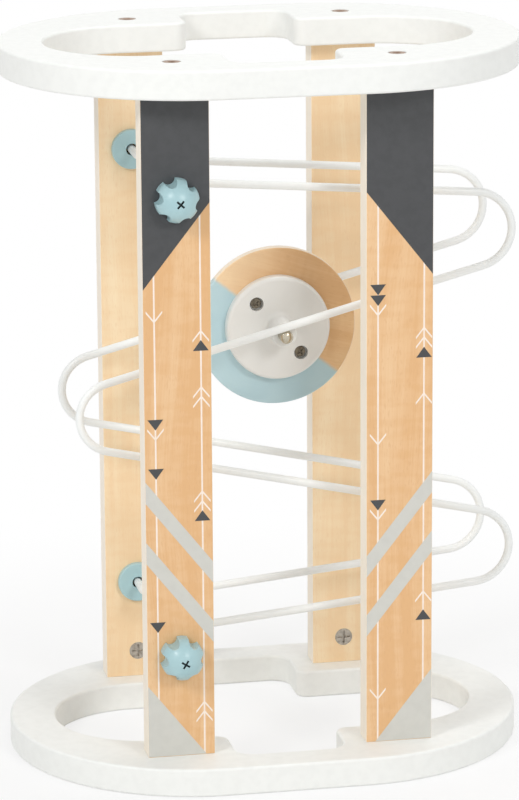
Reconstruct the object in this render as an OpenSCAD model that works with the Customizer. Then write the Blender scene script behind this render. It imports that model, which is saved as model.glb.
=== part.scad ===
/* [Tower] */
// Overall height, from the face it stands on to the top face
height = 400; // [380:5:440]
// Length of a ring, end to end
ring_len = 288; // [280:2:310]
// Depth of a ring, front to rear
ring_depth = 210; // [204:2:224]
// Thickness of a ring
ring_t = 16; // [14:1:20]
// Length of the opening in a ring
opening_len = 237; // [220:1:242]
// Width of the opening beside the posts
opening_w = 100; // [90:1:106]
// Depth of the wider middle of the opening
bay_depth = 168; // [150:2:174]
// Length of the wider middle of the opening
bay_len = 61; // [50:1:64]

/* [Posts] */
// Width of a post
post_w = 37; // [34:1:42]
// Thickness of a post
post_t = 15; // [14:0.5:18]
// Distance between the left and the right posts
post_span_x = 122; // [116:2:128]
// Distance between the front and the rear posts
post_span_y = 143; // [138:1:146]

/* [Rails] */
// Diameter of the rail rod
rail_d = 4.5; // [4:0.25:5]
// Distance between the two rails
gauge = 65; // [60:1:70]
// Height of the upper rail ends
upper_end_z = 327.5; // [322:0.5:332]
// Height of the lower rail ends
lower_end_z = 73.5; // [68:0.5:78]
// Fall of the top run, in degrees
run1_fall = 4.4; // [3:0.2:6]
// Fall of the second run, in degrees
run2_fall = 14.8; // [13:0.2:16]
// Fall of the third run, in degrees
run3_fall = 12.4; // [11:0.2:14]
// Fall of the bottom run, in degrees
run4_fall = 5.5; // [4:0.5:7]
// Height of the second run at the tower's middle
run2_mid_z = 241; // [236:1:246]
// Height of the third run at the tower's middle
run3_mid_z = 158; // [153:1:163]
// Reach of the right-hand bends from the tower's middle
bend_right = 135; // [128:1:138]
// Reach of the left-hand bend from the tower's middle
bend_left = 107.5; // [102:0.5:112]
// Radius of the turn at each rail end
end_turn_r = 14; // [10:1:18]

/* [Wheel] */
// Diameter of the wooden disc
disc_d = 89; // [80:1:94]
// Thickness of the wooden disc
disc_t = 6; // [5:0.5:8]
// Diameter of a hub
hub_d = 58.5; // [52:0.5:62]
// Thickness of a hub beside the disc
hub_t = 6.5; // [6:0.5:8]
// Diameter of the axle pins that the rails hold
pin_d = 7.2; // [6.6:0.2:8]
// Place of the wheel along the second run, from the tower's middle
wheel_x = 8.5; // [-20:0.5:20]

/* [Clamps] */
// Diameter of a clamp knob
knob_d = 23.6; // [22:0.2:26]
// Height of a clamp knob
knob_h = 16.5; // [15:0.5:18]
// Finger notches round a knob
knob_notches = 6; // [5:1:7]
// Diameter of an inner collar
collar_d = 22.6; // [20:0.2:26]

/* [Fasteners] */
// Diameter of a barrel nut
nut_d = 10; // [9:0.5:11]
// Height of the barrel nuts above the ring they pull on
nut_rise = 15.2; // [14:0.2:18]
// Diameter of the ring bolts
bolt_d = 5; // [4:0.5:5]

/* [Hidden] */
$fn = 64;
eps = 0.01;
cut = 1;

// Gaps between pieces: round a bolt, on the diameter of a close fit, and past the end of a piece
clearance = 0.3;
close_fit = 0.1;
end_gap = 0.2;

white = [0.96, 0.96, 0.95];
wood = [0.92, 0.74, 0.54];
blue = [0.66, 0.80, 0.82];
steel = [0.62, 0.60, 0.57];
bronze = [0.62, 0.53, 0.44];
brass = [0.80, 0.66, 0.36];

// Rings
ring_r = ring_depth / 2;
ring_straight = ring_len - ring_depth;
opening_r = opening_w / 2;
opening_straight = opening_len - opening_w;
bay_corner_r = 11;
pad_corner_r = 7;
bay_half = bay_len / 2;

// Posts
post_x = post_span_x / 2;
post_y = post_span_y / 2;
post_h = height - 2 * ring_t;
post_inner_y = post_y - post_t / 2;
post_outer_y = post_y + post_t / 2;

// Ring bolts and barrel nuts
bolt_head_d = 9.2;
bolt_head_h = 3.5;
bolt_sink = 0.2;
counterbore_d = 10;
socket_d = 4.6;
socket_depth = 2.2;
nut_z = ring_t + nut_rise;
nut_len = 11.5;
nut_sink = 0.3;
nut_hole_d = nut_d + 2 * close_fit;
nut_slot_len = 0.72 * nut_d;
nut_slot_w = 1.2;
nut_slot_depth = 1.4;
bolt_past_nut = 1;
bolt_tip_z = nut_z + nut_d / 2 + bolt_past_nut;
bolt_hole_spare = 2;
bolt_hole_d = bolt_d + 2 * clearance;
bolt_hole_depth = bolt_tip_z - ring_t + bolt_hole_spare;

// Rails: each run is a point and a slope in the X-Z plane
rail_r = rail_d / 2;
rail_y = gauge / 2;
turn_swell = 0.05;
turn_rod_r = rail_r + turn_swell;
turn_lap = 0.8;
run1 = [[-post_x, upper_end_z], -run1_fall];
run2 = [[0, run2_mid_z], run2_fall];
run3 = [[0, run3_mid_z], -run3_fall];
run4 = [[-post_x, lower_end_z], run4_fall];
bend1 = bend(run1, run2, 1, bend_right);
bend2 = bend(run2, run3, -1, bend_left);
bend3 = bend(run3, run4, 1, bend_right);
rail_end_out = 4.6;
rail_end_y = post_outer_y + rail_end_out;

// Clamps
post_bore_d = 12;
collar_t = 3.5;
collar_chamfer = 0.8;
collar_bore_d = 6.6;
sleeve_d = post_bore_d - clearance;
sleeve_len = 6;
insert_d = 8;
insert_bore_d = rail_d + close_fit;
insert_depth = 7;
insert_out = 5;
insert_len = insert_depth + insert_out;
dome_drop = 10;
dome_r = (pow(knob_d / 2, 2) + pow(dome_drop, 2)) / (2 * dome_drop);
notch_r = 3.4;
notch_offset = 0.4;
notch_pitch_r = knob_d / 2 + notch_offset;
cross_len = 5.2;
cross_w = 1.1;
cross_depth = 3;
knob_turn_upper = 49;
knob_turn_lower = 58;

// Wheel
magnet_d = 12;
magnet_half = 5;
pin_r = pin_d / 2;
rail_gap = 0.2;
wheel_drop = (rail_r + pin_r + rail_gap) / cos(run2_fall);
wheel_z = run2_mid_z + wheel_x * tan(run2_fall) - wheel_drop;
pin_overhang = 0.5;
pin_end_y = rail_y + pin_overhang;
pin_len = pin_end_y - magnet_half;
pin_dome_h = 1.5;
pin_dome_r = (pow(pin_r, 2) + pow(pin_dome_h, 2)) / (2 * pin_dome_h);
chamber_d = 13;
chamber_end_y = magnet_half + clearance;
disc_bore_d = 14;
pin_bore_d = pin_d + close_fit;
hub_face_y = disc_t / 2 + hub_t;
hub_edge_r = 2.5;
boss_d = 14;
boss_end_y = 25;
boss_fillet_r = 3;
screw_pitch_r = 19;
screw_line_angle = 131;
screw_pocket_d = 7.8;
screw_pocket_depth = 4.6;
screw_d = 2.8;
screw_hole_d = screw_d + close_fit;
screw_slack_d = screw_d + clearance;
screw_blind = 5;
screw_bite = 3;
screw_head_y = hub_face_y - screw_pocket_depth;
screw_head_d = 6;
screw_head_h = 2;
screw_cross_len = 3.6;
screw_cross_w = 0.8;
screw_cross_depth = 1;

// Point where two runs would meet
function meet(a, b) =
    let (ta = tan(a[1]), tb = tan(b[1]))
    let (x = (b[0][1] - a[0][1] + ta * a[0][0] - tb * b[0][0]) / (ta - tb))
    [x, a[0][1] + ta * (x - a[0][0])];

// Point at a distance along a run from its own point
function run_point(run, along) = run[0] + along * [cos(run[1]), sin(run[1])];

// Round turn that joins an upper run to a lower run, as [centre, radius, upper angle, lower angle,
// upper end, lower end]; side is 1 for a right-hand turn and -1 for a left-hand one
function bend(upper, lower, side, reach) =
    let (apex = meet(upper, lower))
    let (half = abs(upper[1] - lower[1]) / 2, mid = (upper[1] + lower[1]) / 2)
    let (away = (abs(apex[0]) - reach) / (cos(mid) - sin(half)))
    let (back = -side * away * cos(half))
    [apex - side * away * [cos(mid), sin(mid)], away * sin(half), upper[1] + 90, lower[1] - 90,
        run_point([apex, upper[1]], back), run_point([apex, lower[1]], back)];

module stadium(straight, r) {
    square([straight, 2 * r], center = true);
    for (s = [-1, 1]) translate([s * straight / 2, 0]) circle(r, $fn = 128);
}

// Rounds an inside corner at the origin between +X and +Y
module inside_fillet(r) {
    difference() {
        translate([-eps, -eps]) square(r + eps);
        translate([r, r]) circle(r);
    }
}

// A narrow stadium with a wider bay across its middle, all corners eased
module ring_opening() {
    stadium(opening_straight, opening_r);
    for (s = [0, 1]) mirror([0, s]) {
        difference() {
            translate([-bay_half, 0]) square([bay_len, bay_depth / 2]);
            for (t = [0, 1]) mirror([t, 0]) translate([-bay_half, bay_depth / 2])
                mirror([0, 1]) inside_fillet(bay_corner_r);
        }
        for (t = [0, 1]) mirror([t, 0]) translate([bay_half, opening_r]) inside_fillet(pad_corner_r);
    }
}

module at_posts() {
    for (x = [-post_x, post_x], y = [-post_y, post_y]) translate([x, y, 0]) children();
}

module ring() {
    difference() {
        linear_extrude(ring_t) difference() {
            stadium(ring_straight, ring_r);
            ring_opening();
        }
        at_posts() {
            translate([0, 0, -cut]) cylinder(d = bolt_hole_d, h = ring_t + 2 * cut);
            translate([0, 0, -cut]) cylinder(d = counterbore_d, h = bolt_sink + bolt_head_h + cut);
        }
    }
}

module from_top() {
    translate([0, 0, height]) mirror([0, 0, 1]) children();
}

module both_ends() {
    children();
    from_top() children();
}

// A front post at x = 0; clamped is true where the rail ends pass through it
module post(clamped) {
    difference() {
        translate([-post_w / 2, -post_outer_y, ring_t]) cube([post_w, post_t, post_h]);
        both_ends() {
            translate([0, -post_y, ring_t - cut])
                cylinder(d = bolt_hole_d, h = bolt_hole_depth + cut);
            translate([0, -post_inner_y + cut, nut_z]) rotate([90, 0, 0])
                cylinder(d = nut_hole_d, h = nut_len + 2 * nut_sink + cut);
        }
        if (clamped) for (z = [lower_end_z, upper_end_z])
            translate([0, -post_inner_y + cut, z]) rotate([90, 0, 0])
                cylinder(d = post_bore_d, h = post_t + 2 * cut);
    }
}

module bolt() {
    difference() {
        union() {
            translate([0, 0, bolt_sink]) cylinder(d = bolt_head_d, h = bolt_head_h);
            translate([0, 0, bolt_sink + bolt_head_h - eps])
                cylinder(d = bolt_d - close_fit, h = bolt_tip_z - bolt_sink - bolt_head_h + eps);
        }
        translate([0, 0, bolt_sink - cut]) cylinder(d = socket_d, h = socket_depth + cut, $fn = 6);
    }
}

// Two crossed bars, from the origin up, for a screwdriver's recess
module cross_bars(len, w, h) {
    for (a = [0, 90]) rotate([0, 0, a]) translate([-len / 2, -w / 2, 0]) cube([len, w, h]);
}

// Barrel nut of a front post, with a cross slot in the end that shows
module barrel_nut() {
    translate([0, -post_inner_y - nut_sink, nut_z]) rotate([90, 0, 0]) difference() {
        cylinder(d = nut_d, h = nut_len);
        translate([0, 0, -cut]) cross_bars(nut_slot_len, nut_slot_w, nut_slot_depth + cut);
        translate([0, -nut_d, post_t / 2 - nut_sink]) rotate([-90, 0, 0])
            cylinder(d = bolt_d, h = 2 * nut_d);
    }
}

module four_barrel_nuts() {
    for (x = [-post_x, post_x], s = [0, 1]) mirror([0, s, 0]) translate([x, 0, 0]) barrel_nut();
}

// A straight stretch, which runs a little way into the turn at each end
module rod(from, to) {
    d = to - from;
    translate([from[0], 0, from[1]]) rotate([0, 90 - atan2(d[1], d[0]), 0])
        translate([0, 0, -turn_lap]) cylinder(d = rail_d, h = norm(d) + 2 * turn_lap);
}

module u_turn(b, side) {
    start = side > 0 ? b[3] : b[2];
    sweep = side > 0 ? b[2] - b[3] : 360 - (b[2] - b[3]);
    translate([b[0][0], 0, b[0][1]]) rotate([90, 0, 0]) rotate([0, 0, start])
        rotate_extrude(angle = sweep, $fn = 96) translate([b[1], 0]) circle(turn_rod_r);
}

// The stretch from a clamp round to the start of a run; the run's plane is y = 0 here
module rail_end(run) {
    translate([run[0][0], 0, run[0][1]]) rotate([0, -run[1], 0]) {
        translate([0, turn_lap - end_turn_r, 0]) rotate([90, 0, 0])
            cylinder(d = rail_d, h = rail_end_y - rail_y - end_turn_r + turn_lap);
        translate([end_turn_r, -end_turn_r, 0]) rotate([0, 0, 90])
            rotate_extrude(angle = 90, $fn = 96) translate([end_turn_r, 0]) circle(turn_rod_r);
    }
}

module front_rail() {
    translate([0, -rail_y, 0]) {
        rail_end(run1);
        rod(run_point(run1, end_turn_r), bend1[4]);
        u_turn(bend1, 1);
        rod(bend1[5], bend2[4]);
        u_turn(bend2, -1);
        rod(bend2[5], bend3[4]);
        u_turn(bend3, 1);
        rod(bend3[5], run_point(run4, end_turn_r));
        rail_end(run4);
    }
}

// Places a clamp piece of the front side at a rail end's axis, pointing out of the tower
module at_clamp(z, y) {
    translate([-post_x, -y, z]) rotate([90, 0, 0]) children();
}

module collar(z) {
    color(blue) at_clamp(z, post_inner_y - collar_t) difference() {
        union() {
            cylinder(d1 = collar_d - 2 * collar_chamfer, d2 = collar_d, h = collar_chamfer);
            translate([0, 0, collar_chamfer]) cylinder(d = collar_d, h = collar_t - collar_chamfer);
            translate([0, 0, collar_t]) cylinder(d = sleeve_d, h = sleeve_len);
        }
        translate([0, 0, -cut]) cylinder(d = collar_bore_d, h = collar_t + sleeve_len + 2 * cut);
    }
}

module insert(z) {
    color(brass) at_clamp(z, post_outer_y - insert_depth) difference() {
        cylinder(d = insert_d, h = insert_len);
        translate([0, 0, -cut]) cylinder(d = insert_bore_d, h = insert_len + 2 * cut);
    }
}

module knob(z, turn) {
    color(blue) at_clamp(z, post_outer_y) rotate([0, 0, turn]) difference() {
        intersection() {
            cylinder(d = knob_d, h = knob_h + cut);
            translate([0, 0, knob_h - dome_r]) sphere(dome_r, $fn = 128);
        }
        for (i = [0 : knob_notches - 1]) rotate([0, 0, i * 360 / knob_notches])
            translate([notch_pitch_r, 0, -cut]) cylinder(r = notch_r, h = knob_h + 2 * cut);
        translate([0, 0, knob_h - cross_depth]) cross_bars(cross_len, cross_w, knob_h);
        translate([0, 0, -cut]) cylinder(d = insert_d + close_fit, h = insert_out + end_gap + cut);
    }
}

// Places a wheel piece whose own axis is +Z, pointing to the front
module at_wheel() {
    translate([wheel_x, 0, wheel_z]) rotate([90, 0, 0]) children();
}

module at_screws() {
    for (a = [0, 180]) rotate([0, 0, screw_line_angle + a])
        translate([screw_pitch_r, 0, 0]) children();
}

// A hub in front of the disc; pocket is true where the screws go in from its face
module hub(pocket) {
    difference() {
        rotate_extrude($fn = 128) {
            translate([0, disc_t / 2]) square([hub_d / 2, hub_t - hub_edge_r]);
            translate([0, disc_t / 2]) square([hub_d / 2 - hub_edge_r, hub_t]);
            translate([hub_d / 2 - hub_edge_r, hub_face_y - hub_edge_r]) circle(hub_edge_r);
            translate([0, disc_t / 2]) square([boss_d / 2, boss_end_y - disc_t / 2]);
            translate([boss_d / 2, hub_face_y]) inside_fillet(boss_fillet_r);
        }
        translate([0, 0, disc_t / 2 - cut]) {
            cylinder(d = pin_bore_d, h = boss_end_y);
            cylinder(d = chamber_d, h = chamber_end_y - disc_t / 2 + cut);
            at_screws() cylinder(d = screw_hole_d, h = pocket ? hub_t + 2 * cut : screw_blind);
        }
        if (pocket) at_screws() translate([0, 0, screw_head_y])
            cylinder(d = screw_pocket_d, h = screw_pocket_depth + cut);
    }
}

module hub_screw() {
    difference() {
        union() {
            translate([0, 0, screw_head_y]) cylinder(d = screw_head_d, h = screw_head_h);
            translate([0, 0, -disc_t / 2 - screw_bite])
                cylinder(d = screw_d, h = screw_head_y + disc_t / 2 + screw_bite + eps);
        }
        translate([0, 0, screw_head_y + screw_head_h - screw_cross_depth])
            cross_bars(screw_cross_len, screw_cross_w, screw_cross_depth + cut);
    }
}

module axle_pin() {
    at_wheel() translate([0, 0, magnet_half]) intersection() {
        cylinder(d = pin_d, h = pin_len);
        union() {
            cylinder(d = pin_d + cut, h = pin_len - pin_dome_h);
            translate([0, 0, pin_len - pin_dome_r]) sphere(pin_dome_r);
        }
    }
}

module bottom_ring() { color(white) ring(); }
module top_ring() { color(white) from_top() ring(); }
module post_front_left() { color(wood) translate([-post_x, 0, 0]) post(true); }
module post_front_right() { color(wood) translate([post_x, 0, 0]) post(false); }
module post_rear_left() { mirror([0, 1, 0]) post_front_left(); }
module post_rear_right() { mirror([0, 1, 0]) post_front_right(); }
module rail_front() { color(white) front_rail(); }
module rail_rear() { mirror([0, 1, 0]) rail_front(); }
module collar_front_upper() { collar(upper_end_z); }
module collar_front_lower() { collar(lower_end_z); }
module collar_rear_upper() { mirror([0, 1, 0]) collar(upper_end_z); }
module collar_rear_lower() { mirror([0, 1, 0]) collar(lower_end_z); }
module knob_front_upper() { knob(upper_end_z, knob_turn_upper); }
module knob_front_lower() { knob(lower_end_z, knob_turn_lower); }
module knob_rear_upper() { mirror([0, 1, 0]) knob(upper_end_z, knob_turn_lower); }
module knob_rear_lower() { mirror([0, 1, 0]) knob(lower_end_z, knob_turn_upper); }
module insert_front_upper() { insert(upper_end_z); }
module insert_front_lower() { insert(lower_end_z); }
module insert_rear_upper() { mirror([0, 1, 0]) insert(upper_end_z); }
module insert_rear_lower() { mirror([0, 1, 0]) insert(lower_end_z); }
module bottom_bolts() { color(bronze) at_posts() bolt(); }
module top_bolts() { color(bronze) from_top() at_posts() bolt(); }
module bottom_barrel_nuts() { color(steel) four_barrel_nuts(); }
module top_barrel_nuts() { color(steel) from_top() four_barrel_nuts(); }
module wheel_disc() {
    color(wood) at_wheel() difference() {
        translate([0, 0, -disc_t / 2]) cylinder(d = disc_d, h = disc_t, $fn = 128);
        translate([0, 0, -disc_t / 2 - cut]) {
            cylinder(d = disc_bore_d, h = disc_t + 2 * cut);
            at_screws() cylinder(d = screw_slack_d, h = disc_t + 2 * cut);
        }
    }
}
module hub_front() { color(white) at_wheel() hub(true); }
module hub_rear() { color(white) mirror([0, 1, 0]) at_wheel() hub(false); }
module hub_screws() { color(steel) at_wheel() at_screws() hub_screw(); }
module axle_pin_front() { color(steel) axle_pin(); }
module axle_pin_rear() { color(steel) mirror([0, 1, 0]) axle_pin(); }
module magnet() {
    color(steel) at_wheel() translate([0, 0, -magnet_half]) cylinder(d = magnet_d, h = 2 * magnet_half);
}

bottom_ring();
top_ring();
post_front_left();
post_front_right();
post_rear_left();
post_rear_right();
rail_front();
rail_rear();
collar_front_upper();
collar_front_lower();
collar_rear_upper();
collar_rear_lower();
knob_front_upper();
knob_front_lower();
knob_rear_upper();
knob_rear_lower();
insert_front_upper();
insert_front_lower();
insert_rear_upper();
insert_rear_lower();
bottom_bolts();
top_bolts();
bottom_barrel_nuts();
top_barrel_nuts();
wheel_disc();
hub_front();
hub_rear();
hub_screws();
axle_pin_front();
axle_pin_rear();
magnet();
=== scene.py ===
# %% [markdown]
# A wheel with a magnet in its axle hangs under two bent rods and rolls down from run to run. The tower round
# it is two white oval boards, four printed planks and a few screwed fittings. The CAD frame already has every
# piece at its real size and place. This lesson dresses it: edges are eased, the rods are bent as smooth
# tubes, the knobs are moulded, the print is laid on the planks and every surface gets its finish.

# %% Load the frame
from math import acos, atan2, cos, pi, radians, sin, sqrt, tan

import bmesh
import bpy
from mathutils import Matrix, Vector
from mathutils.bvhtree import BVHTree


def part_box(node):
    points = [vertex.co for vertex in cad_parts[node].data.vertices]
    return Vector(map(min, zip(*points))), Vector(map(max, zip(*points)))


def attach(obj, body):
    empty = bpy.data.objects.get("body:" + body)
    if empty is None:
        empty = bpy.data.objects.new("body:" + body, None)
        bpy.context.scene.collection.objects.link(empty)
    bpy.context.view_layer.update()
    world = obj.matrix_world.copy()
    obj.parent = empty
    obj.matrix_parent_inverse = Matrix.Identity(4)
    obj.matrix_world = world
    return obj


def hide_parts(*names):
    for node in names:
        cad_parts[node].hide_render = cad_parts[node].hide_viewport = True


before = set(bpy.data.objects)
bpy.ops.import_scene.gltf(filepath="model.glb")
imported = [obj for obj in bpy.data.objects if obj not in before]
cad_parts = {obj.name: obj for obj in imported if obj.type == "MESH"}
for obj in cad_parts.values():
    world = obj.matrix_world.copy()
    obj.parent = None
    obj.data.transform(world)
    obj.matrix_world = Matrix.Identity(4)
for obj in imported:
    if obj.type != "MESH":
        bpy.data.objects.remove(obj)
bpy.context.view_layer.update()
mm = 0.001

# %% [markdown]
# The camera stands where the photographer stood: well back with a long lens, a little to the left of the
# tower and looking down on it. Its turn is built from three plain angles, and the small roll comes last,
# about the camera's own axis, which a plain Euler turn can't say.

# %% Camera
camera_place = Vector((-0.4305, -2.1907, 0.7728))
camera_yaw, camera_pitch, camera_roll = radians(11.095), radians(14.531), radians(-0.37)
focal_pixels = 4129.3
image_height = 800

camera = bpy.data.objects.new("camera", bpy.data.cameras.new("camera"))
bpy.context.scene.collection.objects.link(camera)
camera.data.lens = focal_pixels * camera.data.sensor_width / image_height
camera_turn = Matrix.Rotation(-camera_yaw, 4, "Z") @ Matrix.Rotation(pi / 2 - camera_pitch, 4, "X")
camera_turn = camera_turn @ Matrix.Rotation(camera_roll, 4, "Z")
camera.matrix_world = Matrix.Translation(camera_place) @ camera_turn
bpy.context.scene.camera = camera
print("camera lens", round(camera.data.lens, 1), "mm")

# %% [markdown]
# Shader trees are quicker to read when one line adds one node. `add` makes a node, sets its options and fills
# its sockets, with values or with links. `shader_group` opens a node group with named sockets, for an effect
# that several finishes share. Colours are written as they look on a screen, and `rgb` makes them linear.


# %% Helpers for shader trees
def add(tree, kind, inputs=None, **options):
    """Adds a shader node; inputs maps a socket's name or number to a value or to another node's output."""
    made = tree.nodes.new("ShaderNode" + kind)
    for name, value in options.items():
        setattr(made, name, value)
    for key, value in (inputs or {}).items():
        if isinstance(value, bpy.types.NodeSocket):
            tree.links.new(value, made.inputs[key])
        else:
            made.inputs[key].default_value = value
    return made


def blend(tree, factor, first, second):
    """Mixes two colours and gives the result's socket."""
    return add(tree, "Mix", {0: factor, 6: first, 7: second}, data_type="RGBA").outputs[2]


def maths(tree, operation, first, second=0.0):
    return add(tree, "Math", {0: first, 1: second}, operation=operation).outputs[0]


def remap(tree, value, low, high, to_low, to_high):
    """Maps a range of values onto another, smoothly and without overshoot."""
    inputs = {0: value, 1: low, 2: high, 3: to_low, 4: to_high}
    return add(tree, "MapRange", inputs, interpolation_type="SMOOTHSTEP").outputs[0]


def noise(tree, vector, scale, detail=2.0, roughness=0.5):
    inputs = {"Vector": vector, "Scale": scale, "Detail": detail, "Roughness": roughness}
    return add(tree, "TexNoise", inputs).outputs[0]


def stretched(tree, vector, x, y, z):
    """Scales a coordinate by axis, so that a pattern is drawn out where the number is small."""
    return add(tree, "VectorMath", {0: vector, 1: (x, y, z)}, operation="MULTIPLY").outputs[0]


def shader_group(name, inputs, outputs):
    """Opens a node group; inputs are (label, socket type, default) and outputs are (label, socket type)."""
    tree = bpy.data.node_groups.new(name, "ShaderNodeTree")
    for label, kind, default in inputs:
        socket = tree.interface.new_socket(label, in_out="INPUT", socket_type="NodeSocket" + kind)
        socket.default_value = default
    for label, kind in outputs:
        tree.interface.new_socket(label, in_out="OUTPUT", socket_type="NodeSocket" + kind)
    return tree, tree.nodes.new("NodeGroupInput").outputs, tree.nodes.new("NodeGroupOutput").inputs


def rgb(*levels):
    """A colour as read off a screen, 0 to 255, as the linear colour that shaders use."""
    parts = [level / 255 for level in levels]
    return *(p / 12.92 if p <= 0.04045 else ((p + 0.055) / 1.055) ** 2.4 for p in parts), 1.0


def new_finish(name):
    """Starts a material: its tree, its Principled BSDF and the object's own coordinates."""
    material = bpy.data.materials.new(name)
    material.use_nodes = True
    tree = material.node_tree
    return material, tree, tree.nodes["Principled BSDF"], add(tree, "TexCoord").outputs["Object"]


def dress(tree, shader, colour, dullness, rough, height, relief):
    """Wires a group's colour, dullness and height to the shader; relief is in metres."""
    tree.links.new(colour, shader.inputs["Base Color"])
    tree.links.new(remap(tree, dullness, 0.25, 0.75, *rough), shader.inputs["Roughness"])
    bump = add(tree, "Bump", {"Height": height, "Strength": 0.5, "Distance": relief})
    tree.links.new(bump.outputs["Normal"], shader.inputs["Normal"])


print("shader helpers ready")

# %% [markdown]
# Paint, powder coat, ink and moulded plastic share one look: an almost even colour with faint clouds, and a
# skin that is never quite flat. One group gives all of them, and each finish sets its own colours and scales.
# Scales count cells in a metre, so 60 is a cloud about 17 mm across and 1500 is a pimple under a millimetre.

# %% Group: even coat
coat_group, coat_in, coat_out = shader_group(
    "even_coat",
    [("Vector", "Vector", (0, 0, 0)), ("Colour", "Color", (1, 1, 1, 1)), ("Shade", "Color", (1, 1, 1, 1)),
     ("Cloud scale", "Float", 60.0), ("Skin scale", "Float", 1500.0)],
    [("Colour", "Color"), ("Height", "Float"), ("Dullness", "Float")])
clouds = noise(coat_group, coat_in["Vector"], coat_in["Cloud scale"], 3.0)
skin = noise(coat_group, coat_in["Vector"], coat_in["Skin scale"], 1.0)
cloud_part = remap(coat_group, clouds, 0.35, 0.7, 0.0, 1.0)
coat_colour = blend(coat_group, cloud_part, coat_in["Colour"], coat_in["Shade"])
half_clouds = maths(coat_group, "MULTIPLY", clouds, 0.5)
half_skin = maths(coat_group, "MULTIPLY", skin, 0.5)
coat_group.links.new(coat_colour, coat_out["Colour"])
coat_group.links.new(skin, coat_out["Height"])
coat_group.links.new(maths(coat_group, "ADD", half_clouds, half_skin), coat_out["Dullness"])
print("group", coat_group.name)


# %% Finishes: coats
def coat_finish(name, colour, shade, cloud_scale, skin_scale, rough, relief):
    """An even coat; rough is the roughness range and relief the height of the skin in millimetres."""
    material, tree, shader, place = new_finish(name)
    inputs = {"Vector": place, "Colour": rgb(*colour), "Shade": rgb(*shade), "Cloud scale": cloud_scale,
              "Skin scale": skin_scale}
    coat = add(tree, "Group", inputs, node_tree=coat_group).outputs
    dress(tree, shader, coat["Colour"], coat["Dullness"], rough, coat["Height"], relief * mm)
    return material


ring_paint = coat_finish("ring_paint", (246, 247, 244), (243, 244, 241), 210, 800, (0.42, 0.55), 0.03)
powder_coat = coat_finish("powder_coat", (244, 246, 245), (242, 244, 243), 200, 2000, (0.3, 0.4), 0.015)
hub_plastic = coat_finish("hub_plastic", (234, 234, 231), (231, 231, 228), 50, 700, (0.28, 0.33), 0.0015)
blue_plastic = coat_finish("blue_plastic", (173, 206, 211), (167, 201, 207), 90, 1200, (0.28, 0.36), 0.01)
# The knob's cross recess is the same blue plastic; its darker colour is painted shade.
recess_painted_shade = coat_finish("recess_painted_shade", (84, 102, 106), (66, 82, 86), 300, 2500, (0.55, 0.7), 0.03)
ink_dark = coat_finish("ink_dark", (73, 74, 76), (70, 71, 73), 220, 1300, (0.5, 0.6), 0.03)
ink_grey = coat_finish("ink_grey", (211, 210, 203), (208, 207, 200), 200, 1300, (0.5, 0.6), 0.03)
ink_white = coat_finish("ink_white", (252, 239, 228), (249, 233, 219), 250, 1300, (0.5, 0.6), 0.03)
print("coats ready")

# %% [markdown]
# The planks are faced with pale birch under clear lacquer. Birch shows broad soft bands, hair-fine fibres and
# short dark flecks, all drawn out along the grain, with faint ripples across them. Each is a noise on the
# same coordinate, stretched by its own amount. A slow sideways sway keeps the bands from running dead
# straight, and a wide drift makes one part of a plank a little deeper in tone than the next.

# %% Group: wood grain
grain_group, grain_in, grain_out = shader_group(
    "wood_grain",
    [("Vector", "Vector", (0, 0, 0)), ("Pale", "Color", (1, 1, 1, 1)), ("Deep", "Color", (1, 1, 1, 1)),
     ("Fleck", "Color", (1, 1, 1, 1))],
    [("Colour", "Color"), ("Height", "Float"), ("Dullness", "Float")])
sway_width = 0.03
sway = noise(grain_group, stretched(grain_group, grain_in["Vector"], 1, 1, 0.3), 14, 1.0)
sway_x = maths(grain_group, "MULTIPLY", sway, sway_width)
sideways = add(grain_group, "CombineXYZ", {"X": sway_x}).outputs[0]
swayed = add(grain_group, "VectorMath", {0: grain_in["Vector"], 1: sideways}, operation="ADD").outputs[0]
bands = noise(grain_group, stretched(grain_group, swayed, 1, 1, 0.05), 75, 2.5)
ripples = noise(grain_group, stretched(grain_group, swayed, 0.5, 0.5, 1.3), 130, 2.0)
fibres = noise(grain_group, stretched(grain_group, swayed, 1, 1, 0.02), 1100, 2.0, 0.6)
flecks = noise(grain_group, stretched(grain_group, swayed, 1, 1, 0.16), 1700, 0.0)
drift = noise(grain_group, stretched(grain_group, grain_in["Vector"], 1, 1, 0.6), 11, 0.0)
band_part = remap(grain_group, bands, 0.36, 0.64, 0.0, 0.75)
ripple_part = remap(grain_group, ripples, 0.38, 0.68, 0.0, 0.28)
fibre_part = remap(grain_group, fibres, 0.3, 0.7, 0.0, 0.25)
fleck_part = remap(grain_group, flecks, 0.62, 0.78, 0.0, 0.35)
drift_part = remap(grain_group, drift, 0.35, 0.7, 0.0, 0.22)
broad_depth = maths(grain_group, "ADD", band_part, ripple_part)
fine_depth = maths(grain_group, "ADD", fibre_part, drift_part)
depth = maths(grain_group, "ADD", broad_depth, fine_depth)
board = blend(grain_group, depth, grain_in["Pale"], grain_in["Deep"])
grain_group.links.new(blend(grain_group, fleck_part, board, grain_in["Fleck"]), grain_out["Colour"])
grain_group.links.new(maths(grain_group, "SUBTRACT", fibres, fleck_part), grain_out["Height"])
grain_group.links.new(fibres, grain_out["Dullness"])
print("group", grain_group.name)


# %% Finishes: birch faces
def birch(tree, place, pale, deep, fleck, turn=(0, 0, 0)):
    """Places the grain group, with the grain along Z unless turn lays it otherwise."""
    laid = add(tree, "Mapping", {"Vector": place, "Rotation": turn}).outputs[0]
    inputs = {"Vector": laid, "Pale": rgb(*pale), "Deep": rgb(*deep), "Fleck": rgb(*fleck)}
    return add(tree, "Group", inputs, node_tree=grain_group).outputs


def lacquer(shader):
    shader.inputs["Coat Weight"].default_value = 0.2
    shader.inputs["Coat Roughness"].default_value = 0.28


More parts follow.
